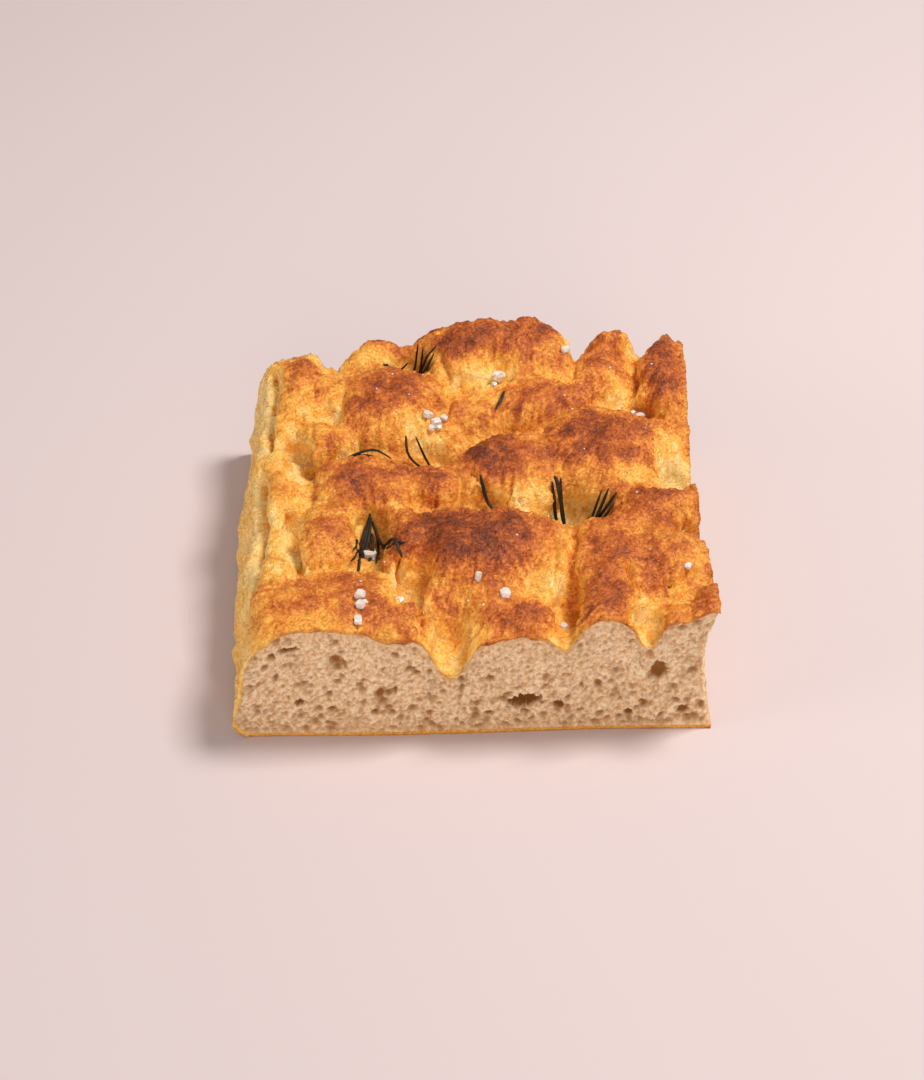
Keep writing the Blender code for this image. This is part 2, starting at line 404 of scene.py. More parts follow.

# Browning, 0 pale dough to 1 scorched: more on high, level and exposed skin, with dark and pale patches,
# and with painted shade in the bottoms of folds.
# A patch is middle x, middle y, half-width x, half-width y in mm, and how much it adds.
TOP_BROWNING, SIDE_BROWNING, BASE_BROWNING = 0.54, 0.13, 0.34
FOLD_PAINTED_SHADE, FOLD_PALER = 0.42, 0.14     # painted shade browns the bottom of a fold, whose sides stay pale
DARK_SHARE = 1.12                       # by which the dark patches brown more than is listed
EDGE_PALER = 0.22                       # towards the baked edge, which the tray's side kept cooler
PATCHES = (
    (0, -31, 22, 12, 0.26), (8, -38, 14, 8, 0.09), (-9, -24, 9, 6, 0.09),
    (6, 8, 8, 12, 0.26), (18, 10, 8, 8, 0.06),
    (40, 14, 15, 12, 0.17), (55, 16, 8, 5, 0.02), (35, 19, 8, 6, 0.09),
    (10, 63, 20, 6, 0.19), (-2, 60, 8, 6, 0.07),
    (-26, 38, 13, 9, 0.14), (-36, 36, 6, 7, 0.07), (-24, 47, 10, 5, 0.06),
    (-35, -1, 12, 8, 0.15), (-35, -6, 8, 5, 0.07),
    (42, -36, 10, 10, 0.14), (39, -56, 7, 10, 0.11), (53, -47, 6, 8, 0.10),
    (50, -14, 12, 8, 0.14), (42, 57, 8, 9, 0.14), (60, 51, 8, 14, 0.16),
    (26, 38, 13, 7, 0.12), (-42, -48, 16, 9, 0.14), (-50, -58, 12, 8, 0.09), (-33, -62, 14, 5, 0.07),
    (-51, 54, 6, 9, 0.12), (-43, 46, 6, 7, 0.11), (14, -61, 9, 4, 0.15), (10, -50, 12, 6, 0.06),
    (-42, -24, 7, 8, 0.06), (-10, 0, 9, 6, 0.09), (67, -60, 5, 7, 0.10), (68, 28, 4, 9, 0.07),
    (-56, -2, 6, 9, 0.05), (-46, 26, 6, 7, 0.03),
    (-16, 29, 6, 6, -0.30), (63, 13, 8, 12, -0.34), (4, 50, 12, 4, -0.25), (19, -9, 12, 5, -0.30),
    (-21, -50, 5, 9, -0.28), (-59, 17, 6, 9, -0.22), (-56, -41, 6, 8, -0.20), (23, -48, 6, 9, -0.24),
    (47, 42, 6, 10, -0.20), (-29, 64, 12, 5, -0.16), (33, 64, 5, 5, -0.26), (53, -1, 12, 4, -0.24),
    (-5, -67, 8, 9, -0.12), (51, -63, 3, 7, -0.24), (-64, 58, 5, 12, -0.20), (-47, -62, 18, 3, 0.03),
    (-58, 36, 6, 8, -0.08), (-55, -20, 5, 12, -0.18),
)

height = crust[..., 2] + relief
prominence = (blur(height, 1.5) - blur(height, 15)) / MM
browning_and_fold_shade = TOP_BROWNING + 0.035 * np.clip(prominence, -4, 4) - 0.16 * soft_step(steep, 0.5, 0.98)
browning_and_fold_shade -= EDGE_PALER * soft_step(-crust[..., 0] / MM, 20, 58)
for middle_x, middle_y, half_x, half_y, amount in PATCHES:
    reach = ((wander_x - middle_x) / half_x) ** 2 + ((wander_y - middle_y) / half_y) ** 2
    browning_and_fold_shade += (DARK_SHARE if amount > 0 else 1.0) * amount * np.exp(-reach ** 1.5)
browning_and_fold_shade += 0.22 * grain(crust, 6.0, 11) + 0.12 * grain(crust, 2.4, 12) + 0.10 * grain(crust, 1.2, 13)
browning_and_fold_shade += 0.08 * streaks * soft_step(steep, 0.05, 0.5)
browning_and_fold_shade -= 0.10 * crackle / (0.6 * MM)
# Painted shade: a narrow brown line in the bottom of each fold, where shade falls. The fold's sides are
# made paler.
browning_and_fold_shade += FOLD_PAINTED_SHADE * soft_step(folds / MM, 1.6, 3.6) - FOLD_PALER * blur(folds, 3.0) / MM
on_side = soft_step(-crust_normals[..., 2], -0.35, -0.05)
side_browning = SIDE_BROWNING + 0.16 * grain(crust, 9.0, 14) + 0.10 * grain(crust, 2.5, 15)
browning_and_fold_shade = browning_and_fold_shade * (1 - on_side) + side_browning * on_side
browning_and_fold_shade[crust_base] = BASE_BROWNING + 0.2 * grain(crust, 5.0, 16)[crust_base]
browning_and_fold_shade = np.clip(browning_and_fold_shade, 0, 1)

upright = (np.exp(-from_edge / 4) * soft_step(crust_normals[..., 2], -0.1, 0.3))[..., None]
relief_way = crust_normals * (1 - upright) + np.array((0.0, 0.0, 1.0)) * upright
outer_crust = crust + relief_way * relief[..., None]
outer_crust[..., 2] = np.maximum(outer_crust[..., 2], 0)
torn = RIM_OVERHANG + RIM_RAGGED * (grain(crust, 2.2, 17) + 0.6 * grain(crust, 0.9, 18))
torn *= (~crust_base)[:, None]
outer_crust[:, 0, 1] -= torn[:, 0]
outer_crust[:, -1, 1] += torn[:, -1]
outer_crust[-1, :, 0] += torn[-1]
thickness = CRUST_THICKNESS + (CRUST_THICKEST - CRUST_THICKNESS) * soft_step(from_edge, 2, 16)
thickness *= 1 + 0.4 * grain(crust, 2.0, 19)
thickness[:BASE_COLUMNS] = CRUST_THICKNESS
turn_angle = math.pi * (1.5 - np.clip((np.arange(CRUST_COLUMNS + 1) - BASE_COLUMNS) / TURN_COLUMNS, 0, 1))
inward = np.stack([-np.cos(turn_angle), np.zeros(CRUST_COLUMNS + 1), -np.sin(turn_angle)], axis=-1)
inner_crust = outer_crust + inward[:, None] * thickness[..., None]
inner_crust[:, 0, 1], inner_crust[:, -1, 1] = crust[:, 0, 1], crust[:, -1, 1]
inner_crust[0, :, 0], inner_crust[-1, :, 0] = crust[0, :, 0], crust[-1, :, 0]


def joined_sheets(name, outer, inner, values):
    """A fine outer sheet and a coarse inner one, bridged round their edges into one closed shell.

    Both start as flat grids, so that their edges bridge evenly, and are then laid on the points.
    """
    columns, rows = outer.shape[0] - 1, outer.shape[1] - 1
    bm = bmesh.new()
    bmesh.ops.create_grid(bm, x_segments=columns, y_segments=rows, size=0.5)
    under = bmesh.ops.create_grid(bm, x_segments=columns // INNER_RATIO, y_segments=rows // INNER_RATIO,
                                  size=0.5, matrix=Matrix.Translation((0, 0, -0.1)))["verts"]
    bmesh.ops.reverse_faces(bm, faces=list({face for vert in under for face in vert.link_faces}))
    bmesh.ops.bridge_loops(bm, edges=[edge for edge in bm.edges if edge.is_boundary])
    mesh = bpy.data.meshes.new(name)
    bm.to_mesh(mesh)
    bm.free()
    flat = np.empty(len(mesh.vertices) * 3, np.float32)
    mesh.vertices.foreach_get("co", flat)
    flat = flat.reshape(-1, 3)
    i = np.rint((flat[:, 0] + 0.5) * columns).astype(int)
    j = np.rint((flat[:, 1] + 0.5) * rows).astype(int)
    below = flat[:, 2] < -0.05
    points = np.where(below[:, None], inner[i, j], outer[i, j])
    mesh.vertices.foreach_set("co", points.astype(np.float32).ravel())
    for value_name, value in values.items():
        attribute = mesh.attributes.new(value_name, "FLOAT", "POINT")
        attribute.data.foreach_set("value", value[i, j].astype(np.float32))
    mesh.shade_smooth()
    mesh.update()
    return mesh


crust_mesh = joined_sheets("crust", outer_crust, inner_crust, {"browning_and_fold_shade": browning_and_fold_shade})

# Wheat crust brushed with olive oil, browned by the Maillard reaction: dull, finely blistered,
# from straw yellow in the dimples to dark brown on the lobes, with a faint sheen.
BROWNING_COLOURS = (
    (0.00, "#FFDA8E"), (0.15, "#FFC45C"), (0.32, "#F5AA42"), (0.48, "#DF862F"),
    (0.64, "#C2611F"), (0.82, "#944011"), (1.00, "#622508"),
)
BLISTER_SIZE = 0.9                      # millimetres
PORE_SIZE = 0.45                        # drawn coarse enough to show
WRINKLE_LINES = ((3.6, 0.17), (1.8, 0.08))   # creases as fine as a hair: spacing and depth in mm


def ramp(material, source, stops):
    """A colour ramp with the stops given as place and hex colour."""
    made = add_node(material, "ShaderNodeValToRGB", links=[("Fac", source)])
    band = made.color_ramp
    while len(band.elements) < len(stops):
        band.elements.new(0.5)
    for element, (place, colour) in zip(band.elements, stops):
        element.position = place
        element.color = linear(colour)
    return made


def baked_crust_material():
    """Browned crust with painted highlights as light specks, and grain in its gloss and relief."""
    material, output = new_material("baked_crust")
    place = add_node(material, "ShaderNodeTexCoord").outputs["Object"]
    # The browning attribute also carries painted shade in the bottoms of folds.
    baked = add_node(material, "ShaderNodeAttribute", attribute_name="browning_and_fold_shade").outputs["Fac"]
    blister = add_node(material, "ShaderNodeTexNoise", links=[("Vector", place)],
                       Scale=1 / (BLISTER_SIZE * MM), Detail=3.0, Roughness=0.6).outputs["Fac"]
    pore = add_node(material, "ShaderNodeTexNoise", links=[("Vector", place)],
                    Scale=1 / (PORE_SIZE * MM), Detail=2.0, Roughness=0.5).outputs["Fac"]
    mottled = add_node(material, "ShaderNodeMath", operation="MULTIPLY_ADD",
                       links=[(0, blister), (2, baked)])
    mottled.inputs[1].default_value = 0.85
    centred = add_node(material, "ShaderNodeMath", operation="SUBTRACT", links=[(0, mottled.outputs[0])])
    centred.inputs[1].default_value = 0.435
    colour = ramp(material, centred.outputs[0], BROWNING_COLOURS).outputs["Color"]
    # Painted highlight: light specks mixed into the colour stand in for glints on the blisters.
    painted_glint = add_node(material, "ShaderNodeMapRange", links=[("Value", pore)],
                     interpolation_type="SMOOTHSTEP", From_Min=0.58, From_Max=0.74, To_Min=0.0, To_Max=0.22)
    colour_and_painted_glints = add_node(material, "ShaderNodeMix", data_type="RGBA", blend_type="MIX")
    material.node_tree.links.new(painted_glint.outputs["Result"], colour_and_painted_glints.inputs["Factor"])
    material.node_tree.links.new(colour, colour_and_painted_glints.inputs[6])
    colour_and_painted_glints.inputs[7].default_value = linear("#F2B566")
    gloss = add_node(material, "ShaderNodeMapRange", links=[("Value", blister)],
                     From_Min=0.3, From_Max=0.7, To_Min=0.55, To_Max=0.30)
    normal = add_node(material, "ShaderNodeBump", Strength=0.6, Distance=0.18 * MM,
                      links=[("Height", pore)])
    normal = add_node(material, "ShaderNodeBump", Strength=0.8, Distance=0.45 * MM,
                      links=[("Height", blister), ("Normal", normal.outputs["Normal"])])
    for size, depth in WRINKLE_LINES:
        web = add_node(material, "ShaderNodeTexNoise", links=[("Vector", place)],
                       Scale=1 / (size * MM), Detail=2.0, Roughness=0.5, Distortion=0.8).outputs["Fac"]
        away = add_node(material, "ShaderNodeMath", operation="SUBTRACT", links=[(0, web)])
        away.inputs[1].default_value = 0.5
        width = add_node(material, "ShaderNodeMath", operation="ABSOLUTE", links=[(0, away.outputs[0])])
        line = add_node(material, "ShaderNodeMapRange", links=[("Value", width.outputs[0])],
                        interpolation_type="SMOOTHSTEP", From_Min=0.0, From_Max=0.045)
        normal = add_node(material, "ShaderNodeBump", Strength=0.9, Distance=depth * MM,
                          links=[("Height", line.outputs["Result"]), ("Normal", normal.outputs["Normal"])])
    shader = add_node(material, "ShaderNodeBsdfPrincipled",
                      links=[("Base Color", colour_and_painted_glints.outputs[2]), ("Roughness", gloss.outputs["Result"]),
                             ("Normal", normal.outputs["Normal"])],
                      Subsurface_Weight=0.05, Subsurface_Scale=1.0 * MM)
    shader.inputs["Specular IOR Level"].default_value = 0.36
    material.node_tree.links.new(shader.outputs["BSDF"], output.inputs["Surface"])
    return material


crust_piece = show("crust", crust_mesh, baked_crust_material())
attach(crust_piece, "root")
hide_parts("focaccia")


# --- Crumb ------------------------------------------------------------------
# The open inside of the bread, bared by the knife at the front, the right and
# the back: soft wheat foam torn into pores, finer above and coarser near the
# tray. It is a body some way deep behind the three cuts, under the crust.

CUT_COLUMNS = (316, 308, 316)           # along the front, the right and the back
CRUMB_ROWS = 84
CRUMB_DEPTH = 12 * MM
UNDER_CRUST = 0.40 * MM                 # how far below the crust's outside the crumb begins
UNDER_WALL = 0.9 * MM
CRUMB_BASE = 0.7 * MM
BASE_UNEVEN = 0.7 * MM                  # how unevenly thick the baked underside is
CORNER_ROUND, CORNER_REACH = 2.0 * MM, 8 * MM   # how far the soft corner gave under the knife
CUT_WANDER = 3.5 * MM                   # how far a knife cut strays from flat
CUT_STEP = 0.8 * MM                     # and between two rows
INSIDE = 1.5 * MM                       # how far in from one cut another is measured
CORNER_PROBE = (66 * MM, 0, 20 * MM)    # where the front and back cuts are measured near the right one
LEFT_TOP = 27 * MM                      # height above which the baked side is no longer upright


def cut_at(x, y, z, inward, usual, most=CUT_WANDER):
    """Distance out to a cut face at one place, or the row below's where the top dips below z."""
    found = skin_at((x, y, z), inward)
    if found is None:
        return usual
    out = -(found.x * inward[0] + found.y * inward[1])
    return out if abs(out - usual) < most else usual


def roof_at(x, y, side):
    """Height at which the crumb starts under the crust's rim, at side -1 front, 1 back or 0 right."""
    if side:
        first, row = BASE_COLUMNS + TURN_COLUMNS // 2, 0 if side < 0 else -1
        across = np.maximum.accumulate(crust[first:, row, 0])
        return np.interp(x, across, outer_crust[first:, row, 2]) - UNDER_CRUST
    return np.interp(y, crust[-1, :, 1], outer_crust[-1, :, 2]) - UNDER_CRUST


def right_profile(y, top, usual):
    """Heights up the right cut at one end of it, and the distance out to it at each."""
    heights = np.linspace(CRUMB_BASE, top, CRUMB_ROWS + 1)
    outs = []
    for height in heights:
        usual = cut_at(0, y, height, (-1, 0, 0), usual, CUT_WANDER if height < top / 2 else CUT_STEP)
        outs.append(usual)
    return heights, outs


def lay_crumb():
    """Points of the cut faces in one strip: along the front to the right, to the back, and to the left."""
    usual = {(0, 1, 0): -solid_low.y - 1 * MM, (0, -1, 0): solid_high.y - 1 * MM,
             (-1, 0, 0): solid_high.x - 3 * MM}
    right_cuts = {}
    for side, inward in ((-1, (0, 1, 0)), (1, (0, -1, 0))):
        face_y = side * usual[inward]
        top = roof_at(0, face_y, 0) - MM
        right_cuts[side] = right_profile(face_y - side * INSIDE, top, usual[(-1, 0, 0)])
    total = sum(CUT_COLUMNS)
    strip = np.empty((total + 1, CRUMB_ROWS + 1, 3))
    for column in range(total + 1):
        if column <= CUT_COLUMNS[0]:
            side, part = -1, column / CUT_COLUMNS[0]
        elif column <= CUT_COLUMNS[0] + CUT_COLUMNS[1]:
            side, part = 0, (column - CUT_COLUMNS[0]) / CUT_COLUMNS[1]
        else:
            side, part = 1, 1 - (column - CUT_COLUMNS[0] - CUT_COLUMNS[1]) / CUT_COLUMNS[2]
        inward = (0, -side, 0) if side else (-1, 0, 0)
        if side:
            face_y = side * usual[inward]
            far_left = skin_at((0, face_y - side * INSIDE, LEFT_TOP), (1, 0, 0)).x + UNDER_WALL
            far_right = right_cuts[side][1][-1]
            roof = roof_at(far_left + (far_right - far_left) * part, 0, side)
        else:
            front = -cut_at(*CORNER_PROBE, (0, 1, 0), usual[(0, 1, 0)])
            behind = cut_at(*CORNER_PROBE, (0, -1, 0), usual[(0, -1, 0)])
            roof = roof_at(0, front + (behind - front) * part, 0)
        held = usual[inward]
        for row in range(CRUMB_ROWS + 1):
            z = CRUMB_BASE + (roof - CRUMB_BASE) * row / CRUMB_ROWS
            most = CUT_WANDER if row < CRUMB_ROWS / 2 else CUT_STEP
            if side:
                left = skin_at((0, face_y - side * INSIDE, min(z, LEFT_TOP)), (1, 0, 0)).x + UNDER_WALL
                right = np.interp(z, *right_cuts[side])
                x = left + (right - left) * part
                held = cut_at(min(max(x, left + MM), right - MM), 0, z, inward, held, most)
                y = side * held
            else:
                y = front + (behind - front) * part
                inside_y = min(max(y, front + INSIDE), behind - INSIDE)
                x = held = cut_at(0, inside_y, z, inward, held, most)
            strip[column, row] = x, y, z
    return strip


crumb = blur(lay_crumb(), 1.2)
crumb[..., 2] += BASE_UNEVEN * grain(crumb, 3.5, 27) * np.exp(-np.arange(CRUMB_ROWS + 1) / 3)
corner = crumb[CUT_COLUMNS[0]][None, :, :2]
from_corner = np.linalg.norm(crumb[..., :2] - corner, axis=-1)
given = np.sin(math.pi * np.arange(CRUMB_ROWS + 1) / CRUMB_ROWS) ** 1.5
round_off = CORNER_ROUND * given * np.exp(-(from_corner / CORNER_REACH) ** 2)
crumb[..., 0] -= round_off
crumb[..., 1] += round_off
crumb_out = np.zeros_like(crumb)
corner_a, corner_b = CUT_COLUMNS[0], CUT_COLUMNS[0] + CUT_COLUMNS[1]
crumb_out[:corner_a, :, 1] = -1
crumb_out[corner_a:corner_b + 1, :, 0] = 1
crumb_out[corner_b + 1:, :, 1] = 1
crumb_out = blur(crumb_out, 2.5)
crumb_out /= np.linalg.norm(crumb_out, axis=-1, keepdims=True)

steps = np.linalg.norm(np.diff(crumb[:, CRUMB_ROWS // 2], axis=0), axis=-1)
along_mm = np.concatenate([[0], np.cumsum(steps)]) / MM
height_mm = crumb[..., 2] / MM

# Holes seen in the front cut: x, height, half-width, half-height, depth in mm, and tilt in degrees
FRONT_HOLES = (
    (54.7, 22.0, 4.0, 3.6, 2.6, 0), (16.7, 11.8, 5.6, 2.3, 5.5, 8), (13.5, 11.0, 2.4, 1.2, 4.0, -10),
    (26.4, 9.8, 2.2, 1.5, 3.2, -35), (47.1, 6.1, 1.7, 1.5, 3.0, 0), (62.0, 6.7, 1.5, 2.0, 2.0, -60),
    (-39.9, 28.5, 2.6, 2.2, 1.6, -50), (-37.5, 27.5, 1.2, 2.4, 1.4, 30), (-53.6, 32.6, 3.6, 1.0, 2.2, 8),
    (-58.8, 30.2, 1.8, 1.2, 1.6, -20), (-48.3, 12.4, 1.7, 1.1, 2.8, 20), (-56.6, 22.1, 1.1, 2.0, 1.4, 0),
    (-25.8, 16.0, 1.9, 2.2, 1.8, -20), (-21.4, 17.1, 0.8, 1.9, 1.6, 5), (-40.0, 15.7, 1.2, 1.1, 1.6, 0),
    (-38.7, 10.0, 1.7, 1.4, 1.5, 0), (37.6, 17.3, 1.6, 2.4, 1.5, 15), (32.7, 17.1, 0.9, 1.3, 1.4, 20),
    (-26.5, 9.0, 1.5, 1.2, 1.6, 30), (6.5, 7.5, 1.8, 1.0, 1.6, -15), (-12.0, 15.0, 1.4, 1.0, 1.3, 0),
    (33.0, 7.5, 2.0, 1.1, 1.4, 10), (-31.0, 21.0, 1.2, 0.9, 1.2, 0), (22.0, 21.0, 1.3, 1.6, 1.2, 0),
)
MORE_HOLES = 26                         # larger holes in the right and back cuts
CUT_HEIGHT = 38                         # of the cut faces on average, in mm
# Pore kinds: how many for each 1000 square mm, smallest and largest half-width in mm, depth for its size,
# and how strongly it keeps to the lower half
PORES = ((95, 0.9, 1.9, 0.75, 1.3), (420, 0.5, 0.95, 0.85, 0.8), (1500, 0.28, 0.55, 0.9, 0.2))


def press_hole(field, middle, height, half_width, half_height, depth, tilt, roughness):
    """Deepens a field of pore depths by one rounded, uneven hole."""
    reach = 1.6 * max(half_width, half_height)
    first, last = np.searchsorted(along_mm, (middle - reach, middle + reach))
    if last - first < 2:
        return
    rows = height_mm[(first + last) // 2]
    low, high = np.searchsorted(rows, (height - reach, height + reach))
    if high - low < 2:
        return
    a = along_mm[first:last, None] - middle
    b = height_mm[first:last, low:high] - height
    c, s = math.cos(math.radians(tilt)), math.sin(math.radians(tilt))
    spread = np.hypot((a * c + b * s) / half_width, (b * c - a * s) / half_height)
    spread = spread * (1 + roughness[first:last, low:high])
    cup = depth * np.clip(1 - spread ** 2, 0, 1) ** 0.8
    field[first:last, low:high] = np.maximum(field[first:last, low:high], cup)


ragged = 0.30 * grain(crumb, 1.4, 21) + 0.25 * grain(crumb, 0.7, 22)
pores = np.zeros(crumb.shape[:2])
random = np.random.default_rng(11)
area = along_mm[-1] * CUT_HEIGHT / 1000
for count, smallest, largest, depth_share, sinking in PORES:
    for _ in range(int(count * area)):
        middle = random.uniform(0, along_mm[-1])
        height = CUT_HEIGHT * random.uniform(0, 1) ** (1 + 0.5 * sinking)
        if height > 20 and smallest > 0.8 and random.uniform() < 0.45:
            continue
        half = smallest + (largest - smallest) * random.uniform() ** 2.2
        flat = random.uniform(0.55, 1.0)
        press_hole(pores, middle, height + 2.0, half, half * flat, half * depth_share,
                   random.uniform(-50, 50), ragged)
for x, hole_height, half_width, half_height, depth, tilt in FRONT_HOLES:
    middle = np.interp(x, crumb[:corner_a, CRUMB_ROWS // 2, 0] / MM, along_mm[:corner_a])
    press_hole(pores, middle, hole_height, half_width, half_height, depth, tilt, ragged)
for _ in range(MORE_HOLES):
    middle = random.uniform(along_mm[corner_a] + 3, along_mm[-1] - 8)
    half = random.uniform(1.4, 3.4)
    press_hole(pores, middle, random.uniform(5, 30), half, half * random.uniform(0.45, 0.9),
               half * random.uniform(0.5, 1.0), random.uniform(-30, 30), ragged)

under_edge = soft_step(np.arange(CRUMB_ROWS + 1)[None, :], 0, 4) * soft_step(
    CRUMB_ROWS - np.arange(CRUMB_ROWS + 1)[None, :], 0, 4)
pores *= under_edge
swell = 0.45 * grain(crumb, 11.0, 23) + 0.22 * grain(crumb, 3.5, 24) + 0.12 * grain(crumb, 1.3, 25)
tear = 0.10 * grain(crumb, 0.8, 26)
outer_crumb = crumb + crumb_out * ((swell * under_edge + tear - pores) * MM)[..., None]
inner_crumb = crumb - crumb_out * CRUMB_DEPTH
inner_crumb[..., 2] = np.clip(inner_crumb[..., 2], 3 * MM, None) - 3 * MM * (
    np.arange(CRUMB_ROWS + 1)[None, :] / CRUMB_ROWS)
inner_crumb[..., 2] = np.minimum(inner_crumb[..., 2], 22 * MM)
inner_crumb[..., 0] = np.maximum(inner_crumb[..., 0], solid_low.x + CRUMB_DEPTH)

near_crust = np.exp(-np.abs(crumb[:, -1:, 2] - crumb[..., 2]) / (1.6 * MM))
near_base = np.exp(-(crumb[..., 2] - CRUMB_BASE) / (1.3 * MM))
crumb_mesh = joined_sheets("crumb", outer_crumb, inner_crumb, {
    "depth": np.clip(pores / 1.5, 0, 1),
    "near_crust": np.clip(near_crust + near_base, 0, 1),
})

# Wheat crumb: a moist, elastic foam that lets light through, pinkish cream mottled with tan, with painted
# shade in its pores.
CRUMB_CREAM = "#FFE4BE"
CRUMB_TAN = "#DBA872"
# The colour of the painted shade in the pores comes next.
PORE_PAINTED_SHADE = "#9C6630"
TOASTED_EDGE = "#D9964F"


def wheat_crumb_material():
    """Cream foam mottled tan, browned by painted shade with the depth of a pore, and golden beside the
    crust.
    """
    material, output = new_material("wheat_crumb")
    place = add_node(material, "ShaderNodeTexCoord").outputs["Object"]
    depth = add_node(material, "ShaderNodeAttribute", attribute_name="depth").outputs["Fac"]
    edge = add_node(material, "ShaderNodeAttribute", attribute_name="near_crust").outputs["Fac"]
    foam = add_node(material, "ShaderNodeTexNoise", links=[("Vector", place)],
                    Scale=1 / (1.3 * MM), Detail=6.0, Roughness=0.72).outputs["Fac"]
    cloud = add_node(material, "ShaderNodeTexNoise", links=[("Vector", place)],
                     Scale=1 / (6.0 * MM), Detail=3.0, Roughness=0.6).outputs["Fac"]
    tan = add_node(material, "ShaderNodeMapRange", links=[("Value", foam)],
                   interpolation_type="SMOOTHSTEP", From_Min=0.38, From_Max=0.66, To_Min=0.0, To_Max=1.0)
    shade = add_node(material, "ShaderNodeMath", operation="MULTIPLY_ADD", links=[(0, cloud), (2, depth)])
    shade.inputs[1].default_value = 0.30

    def mixed(factor, first, second):
        """One colour laid over another by a factor."""
        made = add_node(material, "ShaderNodeMix", data_type="RGBA", blend_type="MIX")
        material.node_tree.links.new(factor, made.inputs["Factor"])
        for socket, colour in ((6, first), (7, second)):
            if isinstance(colour, str):
                made.inputs[socket].default_value = linear(colour)
            else:
                material.node_tree.links.new(colour, made.inputs[socket])
        return made.outputs[2]

    body = mixed(tan.outputs["Result"], CRUMB_CREAM, CRUMB_TAN)
    # Painted shade: the deeper a pore, the more its colour is mixed towards brown.
    deep = add_node(material, "ShaderNodeMapRange", links=[("Value", shade.outputs[0])],
                    From_Min=0.22, From_Max=1.1, To_Min=0.0, To_Max=1.0)
    body = mixed(deep.outputs["Result"], body, PORE_PAINTED_SHADE)
    toast = add_node(material, "ShaderNodeMath", operation="MULTIPLY", links=[(0, edge)])
    toast.inputs[1].default_value = 0.55
    body = mixed(toast.outputs[0], body, TOASTED_EDGE)
    bump = add_node(material, "ShaderNodeBump", links=[("Height", foam)], Strength=1.0, Distance=0.5 * MM)
    shader = add_node(material, "ShaderNodeBsdfPrincipled",
                      links=[("Base Color", body), ("Normal", bump.outputs["Normal"])],
                      Roughness=0.85, Subsurface_Weight=0.25, Subsurface_Scale=2.0 * MM)
    shader.inputs["Subsurface Radius"].default_value = (1.0, 0.6, 0.3)
    shader.inputs["Specular IOR Level"].default_value = 0.25
    material.node_tree.links.new(shader.outputs["BSDF"], output.inputs["Surface"])
    return material


crumb_piece = show("crumb", crumb_mesh, wheat_crumb_material())
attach(crumb_piece, "root")
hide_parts("focaccia")


# --- Rosemary ----------------------------------------------------------------
# Sprigs pressed into the dimples before baking and scorched nearly black: thin,
# stiff needles with a rolled-under edge, which lie on the crust or stand off it.

crust_tree = BVHTree.FromObject(crust_piece, bpy.context.evaluated_depsgraph_get())
NEEDLE_WIDTH = 1.15 * MM
NEEDLE_THICKNESS = 0.6                  # of its width
NEEDLE_SIDES, NEEDLE_RINGS = 8, 11
NEEDLE_LIFT = 0.7                       # millimetres, so that one lying on a rough patch still shows
NEEDLE_CLEAR = 0.3                      # of its width, from the crust to the middle of one that lies on it
LEANS = Vector((0, -0.79, 0.61))        # the way in which the free ends stand up from the crust

